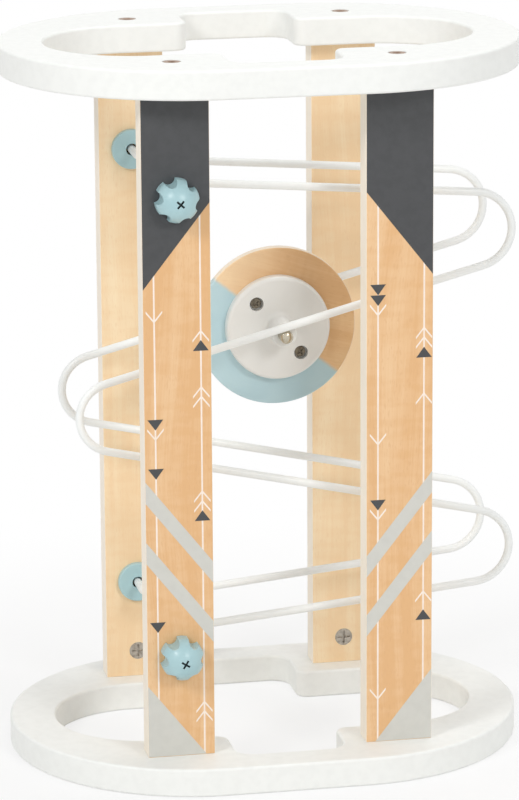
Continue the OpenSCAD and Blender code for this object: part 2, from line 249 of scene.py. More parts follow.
def birch_finish(name, pale, deep, fleck):
    material, tree, shader, place = new_finish(name)
    wood = birch(tree, place, pale, deep, fleck)
    dress(tree, shader, wood["Colour"], wood["Dullness"], (0.42, 0.55), wood["Height"], 0.06 * mm)
    lacquer(shader)
    return material


birch_outer = birch_finish("birch_outer", (242, 204, 159), (230, 182, 129), (222, 172, 122))
birch_inner = birch_finish("birch_inner", (254, 232, 196), (247, 215, 172), (240, 205, 160))
print("birch faces ready")

# %% [markdown]
# The planks' narrow sides show the layers of the ply. A sine across the thickness makes the layers, a little
# noise keeps them from being ruler straight, and long streaks give the sawn face its fibres.

# %% Finish: ply edge
ply_layer = 1.5 * mm
ply_edge, tree, shader, place = new_finish("ply_edge")
across = add(tree, "SeparateXYZ", {0: place}).outputs["Y"]
wobble = maths(tree, "MULTIPLY", noise(tree, stretched(tree, place, 1, 1, 0.3), 60), 0.6 * ply_layer)
layer_turn = maths(tree, "MULTIPLY", maths(tree, "ADD", across, wobble), pi / ply_layer)
layers = remap(tree, maths(tree, "SINE", layer_turn), -0.4, 0.4, 0.0, 0.55)
streaks = noise(tree, stretched(tree, place, 1, 1, 0.03), 1500, 2.0)
sawn = blend(tree, layers, rgb(253, 244, 230), rgb(249, 236, 217))
sawn = blend(tree, remap(tree, streaks, 0.5, 0.8, 0.0, 0.5), sawn, rgb(243, 226, 202))
dress(tree, shader, sawn, streaks, (0.5, 0.65), streaks, 0.05 * mm)
print("ply edge ready")

# %% [markdown]
# The wheel's disc is thin birch ply, sprayed blue on one half, so the colour ends along a straight line
# through the axle with a slightly soft edge. The distance from that line, a dot product, is the mask. The
# bare wood is painted paler towards the upper left by the same kind of mask, a painted sheen of the lamps
# on its lacquer, and the turned rim shows pale end grain.
# All masks read the object's own coordinates, so that the two halves turn with the wheel.

# %% Finish: two-tone disc
disc_low, disc_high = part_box("wheel_disc")
wheel_centre = (disc_low + disc_high) / 2
disc_radius = (disc_high.x - disc_low.x) / 2
spray_line = radians(-39)
spray_soft = 1.4 * mm
spray_ragged = 0.6 * mm
spray_side = Vector((sin(spray_line), 0, -cos(spray_line)))
# Painted sheen: the bare wood is painted paler towards the upper left, where the lamps' reflection lies on
# its lacquer.
sheen_way = Vector((-0.87, 0, 0.5))
sheen_start, sheen_most = 0.2 * disc_radius, 0.5
rim_start, rim_full = disc_radius - 0.3 * mm, disc_radius - 0.05 * mm
disc_grain_turn = (0, radians(75), 0)

disc_finish, tree, shader, place = new_finish("disc_finish")
from_axle = add(tree, "VectorMath", {0: place, 1: wheel_centre}, operation="SUBTRACT").outputs[0]
from_line = add(tree, "VectorMath", {0: from_axle, 1: spray_side}, operation="DOT_PRODUCT").outputs["Value"]
uneven = maths(tree, "SUBTRACT", noise(tree, place, 500), 0.5)
ragged = maths(tree, "MULTIPLY", uneven, spray_ragged)
sprayed = remap(tree, maths(tree, "ADD", from_line, ragged), -spray_soft, spray_soft, 0.0, 1.0)
wood = birch(tree, place, (238, 202, 155), (224, 180, 130), (212, 166, 118), disc_grain_turn)
inputs = {"Vector": place, "Colour": rgb(185, 213, 221), "Shade": rgb(180, 209, 218), "Cloud scale": 80,
          "Skin scale": 900}
spray = add(tree, "Group", inputs, node_tree=coat_group).outputs
in_plane = stretched(tree, from_axle, 1, 0, 1)
reach = add(tree, "VectorMath", {0: in_plane}, operation="LENGTH").outputs["Value"]
rim_part = remap(tree, reach, rim_start, rim_full, 0.0, 1.0)
# The mask of the painted sheen: how far a point lies towards the upper left.
sheen_side = add(tree, "VectorMath", {0: from_axle, 1: sheen_way}, operation="DOT_PRODUCT").outputs["Value"]
sheen_part = remap(tree, sheen_side, sheen_start, disc_radius, 0.0, sheen_most)
wood_and_sheen = blend(tree, sheen_part, wood["Colour"], rgb(252, 230, 194))
bare = blend(tree, rim_part, wood_and_sheen, rgb(240, 226, 206))
disc_colour = blend(tree, sprayed, bare, spray["Colour"])
dress(tree, shader, disc_colour, wood["Dullness"], (0.42, 0.55), wood["Height"], 0.05 * mm)
lacquer(shader)
print("wheel axis at", [round(c / mm, 1) for c in wheel_centre], "mm")

# %% [markdown]
# The fittings have six metal finishes. They differ in colour and polish, but all have dull blotches and fine
# scratches, which one more group gives. The bronzed bolt heads are lacquered brown, so they are metal only in
# part.

# %% Group: worked metal
metal_group, metal_in, metal_out = shader_group(
    "worked_metal",
    [("Vector", "Vector", (0, 0, 0)), ("Colour", "Color", (1, 1, 1, 1)), ("Tarnish", "Color", (1, 1, 1, 1))],
    [("Colour", "Color"), ("Height", "Float"), ("Dullness", "Float")])
blotches = noise(metal_group, metal_in["Vector"], 450, 3.0)
scratches = noise(metal_group, stretched(metal_group, metal_in["Vector"], 1, 0.1, 0.25), 4000, 2.0)
tarnished = remap(metal_group, blotches, 0.4, 0.7, 0.0, 1.0)
metal_colour = blend(metal_group, tarnished, metal_in["Colour"], metal_in["Tarnish"])
metal_group.links.new(metal_colour, metal_out["Colour"])
metal_group.links.new(scratches, metal_out["Height"])
metal_group.links.new(blotches, metal_out["Dullness"])
print("group", metal_group.name)


# %% Finishes: metals
def metal_finish(name, colour, tarnish, rough, relief, metallic=1.0):
    """A worked metal; relief is the depth of the scratches in millimetres."""
    material, tree, shader, place = new_finish(name)
    inputs = {"Vector": place, "Colour": rgb(*colour), "Tarnish": rgb(*tarnish)}
    metal = add(tree, "Group", inputs, node_tree=metal_group).outputs
    shader.inputs["Metallic"].default_value = metallic
    dress(tree, shader, metal["Colour"], metal["Dullness"], rough, metal["Height"], relief * mm)
    return material


zinc = metal_finish("zinc", (188, 181, 171), (160, 152, 142), (0.38, 0.55), 0.03)
# Hub screws: a darker zinc, partly the screws' own dull finish and partly painted shade for the deep pockets
# they sit in.
zinc_with_painted_shade = metal_finish("zinc_with_painted_shade", (128, 120, 106), (98, 90, 78), (0.4, 0.55), 0.03)
bronzed = metal_finish("bronzed", (172, 148, 130), (146, 123, 105), (0.45, 0.6), 0.03, 0.3)
# The pins' steel, its colour darkened and warmed as a painted reflection of the wooden tower round it.
steel_with_painted_reflection = metal_finish("steel_with_painted_reflection", (196, 188, 170), (178, 168, 148), (0.14, 0.24), 0.01)
brass = metal_finish("brass", (214, 182, 112), (190, 156, 92), (0.3, 0.45), 0.02)
nickel = metal_finish("nickel", (206, 202, 194), (190, 186, 178), (0.2, 0.3), 0.01)
print("metals ready")

# %% [markdown]
# A CAD node's mesh is a heap of loose triangles. `cad_copy` merges a copy and joins the flat areas into
# single faces, and `ease` rounds chosen edges, because no real edge is a knife. `piece` makes the finished
# mesh an object that rides on its body, with smooth shading that breaks at the sharp edges that are left.

# %% Helpers for meshes
cad_weld, weld, touch = 0.002 * mm, 0.001 * mm, 0.01 * mm
flat_angle = radians(0.2)
bore_sides = 48


def cad_copy(node):
    """A merged copy of a CAD node, with its flat areas joined."""
    bm = bmesh.new()
    bm.from_mesh(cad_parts[node].data)
    bmesh.ops.remove_doubles(bm, verts=bm.verts, dist=cad_weld)
    bmesh.ops.dissolve_limit(bm, angle_limit=flat_angle, verts=bm.verts, edges=bm.edges)
    return bm


def sharp_edges(bm, above=40):
    """The edges whose faces meet at more than so many degrees."""
    return [edge for edge in bm.edges if edge.calc_face_angle(0) > radians(above)]


def ease(bm, edges, width, segments=3):
    """Rounds edges over a width in metres."""
    bmesh.ops.bevel(bm, geom=edges, offset=width, offset_type="OFFSET", affect="EDGES", segments=segments,
                    profile=0.5, material=-1, clamp_overlap=True)


def piece(name, bm, finishes, body, slot, *replaced):
    """Makes a finished mesh an object that rides on a body and stands for CAD nodes."""
    for face in bm.faces:
        face.smooth = True
    for edge in sharp_edges(bm):
        edge.smooth = False
    mesh = bpy.data.meshes.new(name)
    bm.to_mesh(mesh)
    bm.free()
    for finish in finishes:
        mesh.materials.append(finish)
    made = bpy.data.objects.new(name, mesh)
    bpy.context.scene.collection.objects.link(made)
    flat_faces = made.modifiers.new("flat_faces", "WEIGHTED_NORMAL")
    flat_faces.keep_sharp = True
    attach(made, body)
    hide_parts(*replaced)
    print(name, "has", len(mesh.polygons), "faces")
    return made


def carve(bm, tool):
    """Cuts a tool's shape out of a mesh with a Boolean modifier and gives the carved mesh."""
    made = []
    for source in (bm, tool):
        made.append(bpy.data.objects.new("carving", bpy.data.meshes.new("carving")))
        bpy.context.scene.collection.objects.link(made[-1])
        source.to_mesh(made[-1].data)
        source.free()
    cut = made[0].modifiers.new("cut", "BOOLEAN")
    cut.object = made[1]
    carved = bmesh.new()
    carved.from_object(made[0], bpy.context.evaluated_depsgraph_get())
    for part in made:
        bpy.data.objects.remove(part)
    return carved


def drill(radius, depth, matrix):
    """A round tool for carving, half of its depth to either side of its place."""
    tool = bmesh.new()
    bmesh.ops.create_cone(tool, cap_ends=True, radius1=radius, radius2=radius, depth=depth,
                          segments=bore_sides, matrix=matrix)
    return tool


def facing_front(x, y, z):
    """Turns local +Z to the front and local +Y up, with the origin at a point."""
    return Matrix.Translation((x, y, z)) @ Matrix.Rotation(pi / 2, 4, "X")


def mirrored_to_rear(bm):
    """Mirrors a mesh from the front to the rear and turns its faces outwards again."""
    bmesh.ops.scale(bm, vec=(1, -1, 1), verts=bm.verts)
    bmesh.ops.reverse_faces(bm, faces=bm.faces)


print("mesh helpers ready")

# %% [markdown]
# The two boards are cut from fibreboard, rounded over with a small cutter and painted white. The CAD has the
# outline and the bolt holes, so a copy of it is eased: the outlines get a wide round, the holes a narrow one.

# %% Rings
ring_round = 1.6 * mm
hole_round = 0.2 * mm
hole_reach = 6 * mm
post_names = [f"post_{side}_{hand}" for side in ("front", "rear") for hand in ("left", "right")]
post_centres = {name: (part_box(name)[0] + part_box(name)[1]) / 2 for name in post_names}


def at_bolt(edge):
    middle = (edge.verts[0].co + edge.verts[1].co) / 2
    return any((middle - centre).xy.length < hole_reach for centre in post_centres.values())


def on_ring_face(edge, low, high):
    return all(min(abs(vert.co.z - low.z), abs(vert.co.z - high.z)) < touch for vert in edge.verts)


for name in ("bottom_ring", "top_ring"):
    bm = cad_copy(name)
    outlines = [edge for edge in sharp_edges(bm) if not at_bolt(edge)]
    hole_rims = [edge for edge in sharp_edges(bm) if at_bolt(edge) and on_ring_face(edge, *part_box(name))]
    ease(bm, outlines, ring_round, 4)
    ease(bm, [edge for edge in hole_rims if edge.is_valid], hole_round, 2)
    piece(name + "_painted", bm, [ring_paint], "tower", "white_paint", name)

# %% [markdown]
# A plank keeps the holes of its CAD node, and only its outer edges are eased. Each face then gets its finish
# by the way it looks: the outer face is the warm printed one, the inner face is paler, and the rest is ply
# edge.

# %% Posts
post_round = 0.4 * mm
square_on = 0.95


def on_box_edge(edge, low, high):
    """True where an edge lies on one of the plank's own twelve edges."""
    middle = (edge.verts[0].co + edge.verts[1].co) / 2
    return sum(min(abs(m - a), abs(m - b)) < touch for m, a, b in zip(middle, low, high)) >= 2


for name in post_names:
    bm = cad_copy(name)
    ease(bm, [edge for edge in sharp_edges(bm) if on_box_edge(edge, *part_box(name))], post_round)
    outward = 1 if post_centres[name].y > 0 else -1
    for face in bm.faces:
        looks_out = face.normal.y * outward
        face.material_index = 0 if looks_out > square_on else 1 if looks_out < -square_on else 2
    piece(name + "_faced", bm, [birch_outer, birch_inner, ply_edge], "tower", "printed_ply", name)

# %% [markdown]
# Each rail is one steel rod, bent cold and powder coated. A bender knows a rod as a list of moves, so many
# millimetres straight and then so many degrees round, and the mesh can be made in the same way: a circle is
# extruded along each straight and spun round each turn. Runs are lines in the rail's plane, a point and a
# slope, and each turn is the circle that touches two of them and reaches just so far out.

# %% The rails' moves
rail_low, rail_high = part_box("rail_front")
rail_radius = 2.25 * mm
rail_plane = rail_high.y - rail_radius
rail_tip = rail_low.y
clamp_x = post_centres["post_front_left"].x
upper_end_z, lower_end_z = 327.5 * mm, 73.5 * mm
reach_right, reach_left = 135 * mm, -107.5 * mm
end_turn = 14 * mm
run1 = (Vector((clamp_x, upper_end_z)), radians(-4.4))
run2 = (Vector((0, 241 * mm)), radians(14.8))
run3 = (Vector((0, 158 * mm)), radians(-12.4))
run4 = (Vector((clamp_x, lower_end_z)), radians(5.5))


def along(run, distance):
    """The point at a distance along a run, from the run's own point."""
    return run[0] + distance * Vector((cos(run[1]), sin(run[1])))


def meeting_point(first, second):
    """Where the lines of two runs cross."""
    slope1, slope2 = tan(first[1]), tan(second[1])
    gap = second[0].y - first[0].y + slope1 * first[0].x - slope2 * second[0].x
    return along(first, (gap / (slope1 - slope2) - first[0].x) / cos(first[1]))


def turn_between(upper, lower, reach):
    """Radius, sweep and the two ends of the turn that joins two runs and reaches out to x = reach."""
    apex = meeting_point(upper, lower)
    half = abs(upper[1] - lower[1]) / 2
    away = (abs(apex.x) - abs(reach)) / (cos((upper[1] + lower[1]) / 2) - sin(half))
    back = -away * cos(half) * (1 if reach > 0 else -1)
    return away * sin(half), pi - 2 * half, along((apex, upper[1]), back), along((apex, lower[1]), back)


bends = [turn_between(run1, run2, reach_right), turn_between(run2, run3, reach_left),
         turn_between(run3, run4, reach_right)]
print("bend radii", [round(bend[0] / mm, 1) for bend in bends], "mm")

# %% Rails
rod_sides = 28
turn_step = radians(6)
fewest_steps = 4
lead_in = abs(rail_tip - rail_plane) - end_turn
start_of_runs = [along(run1, end_turn), bends[0][3], bends[1][3], bends[2][3]]
end_of_runs = [bends[0][2], bends[1][2], bends[2][2], along(run4, end_turn)]
run_lengths = [(end - start).length for start, end in zip(start_of_runs, end_of_runs)]
upward = Vector((0, 1, 0))
first_way = Vector((cos(run1[1]), 0, sin(run1[1])))
last_way = -Vector((cos(run4[1]), 0, sin(run4[1])))
moves = [(lead_in,), (end_turn, pi / 2, upward.cross(first_way))]
for length, bend, axis in zip(run_lengths, bends, (upward, -upward, upward)):
    moves += [(length,), (bend[0], bend[1], axis)]
moves += [(run_lengths[3],), (end_turn, pi / 2, last_way.cross(-upward)), (lead_in,)]


def verts_in(made):
    """The vertices among what an operator made."""
    return [item for item in made if isinstance(item, bmesh.types.BMVert)]


def loop_in(made):
    """The edges between an operator's new vertices, without those that lead back to the old ones."""
    fresh = set(verts_in(made))
    edges = [item for item in made if isinstance(item, bmesh.types.BMEdge)]
    return [edge for edge in edges if fresh.issuperset(edge.verts)]


def bent_rod(place, heading, moves):
    """Sweeps a rod through its moves: (length,) is straight, (radius, angle, axis) is a turn."""
    bm = bmesh.new()
    bmesh.ops.create_circle(bm, cap_ends=True, radius=rail_radius, segments=rod_sides)
    stand = Matrix.Translation(place) @ heading.to_track_quat("Z", "Y").to_matrix().to_4x4()
    bmesh.ops.transform(bm, matrix=stand, verts=bm.verts)
    hoop = bm.edges[:]
    for move in moves:
        if len(move) == 1:
            grown = bmesh.ops.extrude_edge_only(bm, edges=hoop)["geom"]
            bmesh.ops.translate(bm, vec=move[0] * heading, verts=verts_in(grown))
            place = place + move[0] * heading
        else:
            radius, angle, axis = move
            centre = place + radius * axis.cross(heading)
            steps = max(fewest_steps, round(angle / turn_step))
            spun = bmesh.ops.spin(bm, geom=hoop, cent=centre, axis=axis, angle=angle, steps=steps)
            grown = spun["geom_last"]
            turn = Matrix.Rotation(angle, 3, axis)
            place, heading = centre + turn @ (place - centre), turn @ heading
        hoop = loop_in(grown)
    bmesh.ops.contextual_create(bm, geom=hoop)
    bmesh.ops.remove_doubles(bm, verts=bm.verts, dist=weld)
    bmesh.ops.recalc_face_normals(bm, faces=bm.faces)
    return bm


def furthest_from_node(bm, node):
    """How far the mesh strays from the CAD node's surface at most, in metres."""
    tree = BVHTree.FromObject(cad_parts[node], bpy.context.evaluated_depsgraph_get())
    return max(tree.find_nearest(vert.co)[3] for vert in bm.verts)


for name in ("rail_front", "rail_rear"):
    bm = bent_rod(Vector((clamp_x, rail_tip, upper_end_z)), upward.copy(), moves)
    if name == "rail_rear":
        mirrored_to_rear(bm)
    print(name, "keeps within", round(furthest_from_node(bm, name) / mm, 3), "mm of the CAD rod")
    piece(name + "_coated", bm, [powder_coat], "tower", "white_coated_steel", name)

# %% [markdown]
# Wheel, hubs and collars are round, so each is one profile spun about its axis. `turned` fills the profile as
# a face, rounds some of its corners with a vertex bevel, keeps only the outline and spins it. The disc is the
# first piece made with it.

# %% Turned pieces and the disc
corner_segments = 8
disc_round = 0.8 * mm


def turned(corners, rounds, steps=128):
    """Spins a closed profile of (radius, along) corners about Z; rounds are (corner number, radius)."""
    bm = bmesh.new()
    verts = [bm.verts.new((radius, 0, length)) for radius, length in corners]
    bm.faces.new(verts)
    for number, radius in rounds:
        bmesh.ops.bevel(bm, geom=[verts[number]], offset=radius, offset_type="OFFSET", affect="VERTICES",
                        segments=corner_segments, profile=0.5, material=-1)
    bmesh.ops.delete(bm, geom=bm.faces[:], context="FACES_ONLY")
    outline = bm.verts[:] + bm.edges[:]
    bmesh.ops.spin(bm, geom=outline, cent=(0, 0, 0), axis=(0, 0, 1), angle=2 * pi, steps=steps,
                   use_merge=True)
    bmesh.ops.remove_doubles(bm, verts=bm.verts, dist=weld)
    bmesh.ops.recalc_face_normals(bm, faces=bm.faces)
    return bm


disc_half = (disc_high.y - disc_low.y) / 2
disc_bore = 7 * mm
disc_profile = [(disc_bore, -disc_half), (disc_radius, -disc_half), (disc_radius, disc_half),
                (disc_bore, disc_half)]
bm = turned(disc_profile, [(1, disc_round), (2, disc_round)])
bmesh.ops.transform(bm, matrix=facing_front(*wheel_centre), verts=bm.verts)
piece("wheel_disc_sprayed", bm, [disc_finish], "wheel", "two_tone_ply", "wheel_disc")

# %% [markdown]
# Each hub is a white moulding: a flat plate with a rounded rim and a boss that swells out of it. The front
# one has two pockets for the screws, cut with a Boolean after the spin, and their rims are eased a little.

# %% Hubs
hub_low, hub_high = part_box("hub_front")
hub_radius = (hub_high.x - hub_low.x) / 2
hub_thick = 6.5 * mm
hub_face = disc_half + hub_thick
boss_radius, boss_end = 7 * mm, -hub_low.y
pin_bore, chamber_radius, chamber_end = 3.65 * mm, 6.5 * mm, 5.3 * mm
hub_profile = [(chamber_radius, disc_half), (hub_radius, disc_half), (hub_radius, hub_face),
               (boss_radius, hub_face), (boss_radius, boss_end), (pin_bore, boss_end),
               (pin_bore, chamber_end), (chamber_radius, chamber_end)]
hub_rounds = [(2, 2.5 * mm), (3, 3 * mm), (4, 0.8 * mm)]
pocket_radius, pocket_depth = 3.9 * mm, 4.6 * mm
pocket_pitch, pocket_angle = 19 * mm, radians(131)
pocket_round = 0.4 * mm


def at_pocket_rim(edge, middle):
    return all(abs((vert.co - middle).length - pocket_radius) < touch for vert in edge.verts)


for name in ("hub_front", "hub_rear"):
    bm = turned(hub_profile, hub_rounds)
    if name == "hub_front":
        for angle in (pocket_angle, pocket_angle + pi):
            middle = Vector((pocket_pitch * cos(angle), pocket_pitch * sin(angle), hub_face))
            bm = carve(bm, drill(pocket_radius, 2 * pocket_depth, Matrix.Translation(middle)))
            ease(bm, [edge for edge in sharp_edges(bm) if at_pocket_rim(edge, middle)], pocket_round)
    bmesh.ops.transform(bm, matrix=facing_front(*wheel_centre), verts=bm.verts)
    if name == "hub_rear":
        mirrored_to_rear(bm)
    piece(name + "_moulded", bm, [hub_plastic], "wheel", "white_plastic", name)

# %% [markdown]
# A collar is a blue washer with a short sleeve that sits in the plank, where a rail end goes through. Its rim
# is rounded, and the hole is wider than the rod.

# %% Collars
collar_low, collar_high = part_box("collar_front_upper")
collar_radius = (collar_high.x - collar_low.x) / 2
collar_thick, collar_long = 3.5 * mm, collar_high.y - collar_low.y
collar_bore, sleeve_radius = 3.3 * mm, 5.85 * mm
collar_profile = [(collar_bore, 0), (collar_radius, 0), (collar_radius, collar_thick),
                  (sleeve_radius, collar_thick), (sleeve_radius, collar_long), (collar_bore, collar_long)]
collar_rounds = [(1, 0.8 * mm), (0, 0.4 * mm)]
collar_steps = 72

for side in ("front", "rear"):
    for level, end_z in (("upper", upper_end_z), ("lower", lower_end_z)):
        bm = turned(collar_profile, collar_rounds, collar_steps)
        bmesh.ops.transform(bm, matrix=facing_front(clamp_x, collar_high.y, end_z), verts=bm.verts)
        if side == "rear":
            mirrored_to_rear(bm)
        node = f"collar_{side}_{level}"
        piece(node + "_moulded", bm, [blue_plastic], "tower", "blue_plastic", node)

# %% [markdown]
# A knob is a blue dome with six finger notches and a cross recess. Its outline is drawn with two arcs, a
# notch and the stretch of rim beside it, which spin makes from single vertices, and the pair is copied round.
# The outline is then pulled up to the dome, drawn in ring by ring to the top, and the rim is rounded. The
# inner rings have fewer vertices and faces with many corners are split, so that the cross, which is cut last,
# leaves no slivers. Its faces get a darker blue, which is painted shade in the recess.

# %% Knobs
knob_radius, knob_height, dome_drop = 11.8 * mm, 16.5 * mm, 10 * mm
dome_radius = (knob_radius ** 2 + dome_drop ** 2) / (2 * dome_drop)
notch_count, notch_radius, notch_pitch = 6, 3.4 * mm, 12.2 * mm
cross_length, cross_width, cross_depth = 5.2 * mm, 1.1 * mm, 3 * mm
knob_round, foot_round = 0.6 * mm, 1.0 * mm
dome_steps = (0.96, 0.9, 0.82, 0.72, 0.6, 0.46, 0.32, 0.18)
thin_from, thin_angle = 0.32, radians(15)
knob_turns = {"front_upper": 49, "front_lower": 58, "rear_upper": 58, "rear_lower": 49}
notch_steps, rim_steps = 14, 6
recess_reach, recess_floor, recess_below = 0.6 * cross_length, 0.5 * knob_height, 0.1 * mm
notch_half = acos((notch_pitch ** 2 + knob_radius ** 2 - notch_radius ** 2) / (2 * notch_pitch * knob_radius))


def dome_level(point):
    """Height of the dome above a place."""
    return knob_height - dome_radius + sqrt(dome_radius ** 2 - point.xy.length_squared)


def arc(bm, vert, centre, angle, steps):
    """Draws an arc from a vertex round a centre and gives the last vertex."""
    drawn = bmesh.ops.spin(bm, geom=[vert], cent=centre, axis=(0, 0, 1), angle=angle, steps=steps)
    return verts_in(drawn["geom_last"])[0]


def loop_on_dome(bm, loop, shrink=1.0):
    """Extrudes a loop of edges, draws it in, sets it on the dome and gives the new loop."""
    grown = bmesh.ops.extrude_edge_only(bm, edges=loop)["geom"]
    bmesh.ops.scale(bm, vec=(shrink, shrink, 1), verts=verts_in(grown))
    for vert in verts_in(grown):
        vert.co.z = dome_level(vert.co)
    return loop_in(grown)


def thinned(bm, loop):
    """Welds a ring's vertices to the middle one of each sector and gives the ring that is left."""
    def turns(vert):
        return atan2(vert.co.y, vert.co.x) / thin_angle

    kept, welds = {}, {}
    verts = {vert for edge in loop for vert in edge.verts}
    for vert in sorted(verts, key=lambda vert: abs(turns(vert) - round(turns(vert)))):
        keeper = kept.setdefault(round(turns(vert)) % round(2 * pi / thin_angle), vert)
        if vert != keeper:
            welds[vert] = keeper
    bmesh.ops.weld_verts(bm, targetmap=welds)
    ring = set(kept.values())
    return [edge for edge in bm.edges if edge.is_boundary and ring.issuperset(edge.verts)]


def cross_tool():
    """A plus-shaped prism that sinks into the top of the dome."""
    long, short = cross_length / 2, cross_width / 2
    quarter = [Vector((short, short, 0)), Vector((short, long, 0)), Vector((-short, long, 0))]
    tool = bmesh.new()
    corners = [Matrix.Rotation(turn * pi / 2, 3, "Z") @ corner for turn in range(4) for corner in quarter]
    base = tool.faces.new([tool.verts.new(corner) for corner in corners])
    grown = bmesh.ops.extrude_face_region(tool, geom=[base])["geom"]
    bmesh.ops.translate(tool, vec=(0, 0, 2 * cross_depth), verts=verts_in(grown))
    bmesh.ops.translate(tool, vec=(0, 0, knob_height - cross_depth), verts=tool.verts)
    bmesh.ops.recalc_face_normals(tool, faces=tool.faces)
    return tool


def knob_mesh():
    """A knob that stands on its foot, with its axis along Z."""
    bm = bmesh.new()
    corner = bm.verts.new((knob_radius * cos(notch_half), -knob_radius * sin(notch_half), 0))
    notch_centre = Vector((notch_pitch, 0, 0))
    swing = 2 * (pi - atan2(knob_radius * sin(notch_half), knob_radius * cos(notch_half) - notch_pitch))
    far_corner = arc(bm, corner, notch_centre, -swing, notch_steps)
    sector = 2 * pi / notch_count
    arc(bm, far_corner, (0, 0, 0), sector - 2 * notch_half, rim_steps)
    bmesh.ops.spin(bm, geom=bm.verts[:] + bm.edges[:], cent=(0, 0, 0), axis=(0, 0, 1), angle=2 * pi - sector,
                   steps=notch_count - 1, use_duplicate=True)
    bmesh.ops.remove_doubles(bm, verts=bm.verts, dist=touch)
    foot = bm.edges[:]
    rim = loop = loop_on_dome(bm, foot)
    before = 1.0
    for step in dome_steps:
        loop = loop_on_dome(bm, loop, step / before)
        before = step
        if step == thin_from:
            loop = thinned(bm, loop)
    cap = bmesh.ops.contextual_create(bm, geom=loop)["faces"]
    for vert in bmesh.ops.poke(bm, faces=cap)["verts"]:
        vert.co.z = dome_level(vert.co)
    bmesh.ops.contextual_create(bm, geom=foot)
    bmesh.ops.recalc_face_normals(bm, faces=bm.faces)
    ease(bm, foot, foot_round, 4)
    ease(bm, [edge for edge in rim if edge.is_valid], knob_round, 4)
    bm = carve(bm, cross_tool())
    bmesh.ops.triangulate(bm, faces=[face for face in bm.faces if len(face.verts) > 4])
    # Faces down in the cross recess take the darker blue, painted shade.
    for face in bm.faces:
        middle = face.calc_center_median()
        sunk = recess_floor < middle.z < dome_level(middle) - recess_below
        face.material_index = int(sunk and middle.xy.length < recess_reach)
    return bm


foot_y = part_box("post_front_left")[0].y
for place, turn in knob_turns.items():
    side, level = place.split("_")
    bm = knob_mesh()
    end_z = upper_end_z if level == "upper" else lower_end_z
    stand = facing_front(clamp_x, foot_y, end_z) @ Matrix.Rotation(radians(turn), 4, "Z")
    bmesh.ops.transform(bm, matrix=stand, verts=bm.verts)
    if side == "rear":
        mirrored_to_rear(bm)
    node = f"knob_{place}"
    piece(node + "_moulded", bm, [blue_plastic, recess_painted_shade], node, "blue_plastic", node)

# %% [markdown]
# Bolts, barrel nuts, hub screws and axle pins keep their CAD shape. A merged copy lets them shade smoothly,
# and a hair of rounding on all but the pins catches the light. The magnet and the inserts stay CAD nodes, so
# only their finish is set.

# %% Fittings
bolt_look = ("tower", bronzed, "bronzed_steel", 0.25 * mm)
nut_look = ("tower", zinc, "zinc_steel", 0.15 * mm)
screw_look = ("wheel", zinc_with_painted_shade, "zinc_steel", 0.1 * mm)
pin_look = ("axle", steel_with_painted_reflection, "pole_steel", 0)
fittings = {"bottom_bolts": bolt_look, "top_bolts": bolt_look, "bottom_barrel_nuts": nut_look,
            "top_barrel_nuts": nut_look, "hub_screws": screw_look, "axle_pin_front": pin_look,
            "axle_pin_rear": pin_look}
for name, (body, finish, slot, width) in fittings.items():
    bm = cad_copy(name)
    if width:
        ease(bm, sharp_edges(bm), width, 2)
    piece(name + "_finished", bm, [finish], body, slot, name)

hidden_finishes = {"magnet": nickel}
hidden_finishes.update({f"insert_{place}": brass for place in knob_turns})
for name, finish in hidden_finishes.items():
    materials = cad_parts[name].data.materials
    materials.clear()
    materials.append(finish)
print("hidden fittings", sorted(hidden_finishes))

# %% [markdown]
# The print on the planks is a plain geometric ornament in three inks: a dark block that ends in a slant, pale
# grey stripes on the same slant, and white lines with arrow marks. Each ink is screen printed in one pass, so
# each is one thin mesh, and later passes lie over earlier ones. In the table, heights are millimetres above
# the floor, sideways places are measured from the plank's middle, and 1 or -1 says whether a mark points up
# or down.

# %% Print layout
face_half = 18.25 * mm
foot_z, head_z = 16.4 * mm, 383.6 * mm
slant = 1.27
line_width, line_top, stroke = 0.9 * mm, 320 * mm, 1.3 * mm
arrow_half, arrow_height = 4.3 * mm, 5.9 * mm
chevron_half, chevron_height = 4.5 * mm, 5.6 * mm
stripe_height = 12 * mm
prints = {
    "left": dict(
        lean=-1, dark_z=301.8, stripes_z=(143.4, 109.5), wedge_z=33.8,
        lines={-12.4: ((-1, "chevron", 260.3), (-1, "arrow", 201.3), (-1, "chevron", 195.4),
                       (-1, "arrow", 173.9), (-1, "arrow", 87.4)),
               12.8: ((1, "chevron", 255.7), (1, "arrow", 250), (1, "chevron", 224.7), (1, "chevron", 219.4),
                      (1, "chevron", 166.6), (1, "chevron", 161.1), (1, "arrow", 155.3), (1, "chevron", 47),
                      (1, "chevron", 41.6))}),
    "right": dict(
        lean=1, dark_z=303.1, stripes_z=(140.5, 106.7), wedge_z=33.2,
        lines={-12.0: ((-1, "arrow", 269.5), (-1, "arrow", 263.6), (-1, "chevron", 257.8),
                       (-1, "chevron", 185.7), (-1, "arrow", 149.1), (-1, "chevron", 143.2),
                       (-1, "chevron", 40.3)),
               13.5: ((1, "chevron", 251), (1, "chevron", 245.7), (1, "arrow", 239.7), (1, "chevron", 214.4),
                      (1, "chevron", 102.1), (1, "arrow", 91))}),
}
bore_radius, bore_depth = 6 * mm, 4 * mm
ink_depth = 0.1 * mm
ink_lifts = {"white": 0.03 * mm, "dark": 0.06 * mm, "grey": 0.08 * mm}
mark_lift = 0.045 * mm
print("marks", sum(len(marks) for plank in prints.values() for marks in plank["lines"].values()))


# %% Print passes
def ink_patch(bm, corners, lift):
    """Lays a thin patch of ink: corners are (sideways, height) on the face, seen from the front."""
    verts = [bm.verts.new((side, ink_depth, height)) for side, height in corners]
    grown = bmesh.ops.extrude_face_region(bm, geom=[bm.faces.new(verts)])["geom"]
    bmesh.ops.translate(bm, vec=(0, -ink_depth - lift, 0), verts=verts_in(grown))


def slant_at(lean, middle, side):
    """Height of a slanting edge at a sideways place; lean is 1 where it rises to the right."""
    return middle + lean * slant * side


